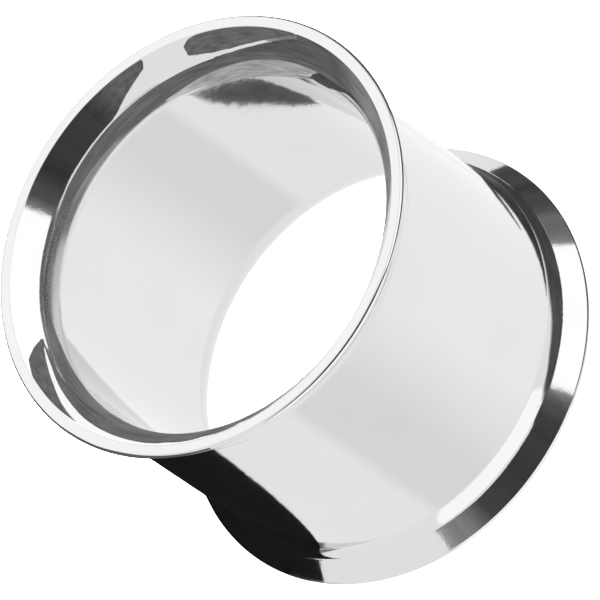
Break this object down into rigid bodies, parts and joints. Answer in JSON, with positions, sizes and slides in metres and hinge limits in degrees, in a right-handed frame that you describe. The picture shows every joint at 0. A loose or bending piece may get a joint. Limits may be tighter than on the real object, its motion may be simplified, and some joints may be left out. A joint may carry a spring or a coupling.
{
  "type": "ear tunnel",
  "caption": "Thin-walled polished steel tube, open right through, with a flare and a flat lip at each end; it is worn in a stretched ear lobe.",
  "frame": {"origin": "centre of the circle that the lower lip stands on", "axes": "+Z along the tube's axis, from the lower lip to the upper lip; X and Y are any two directions across it"},
  "size_m": [0.0156, 0.0156, 0.012],
  "materials": {
    "polished_steel": "mirror-polished stainless steel"
  },
  "bodies": {
    "root": {"tunnel": "polished_steel"}
  },
  "joints": []
}
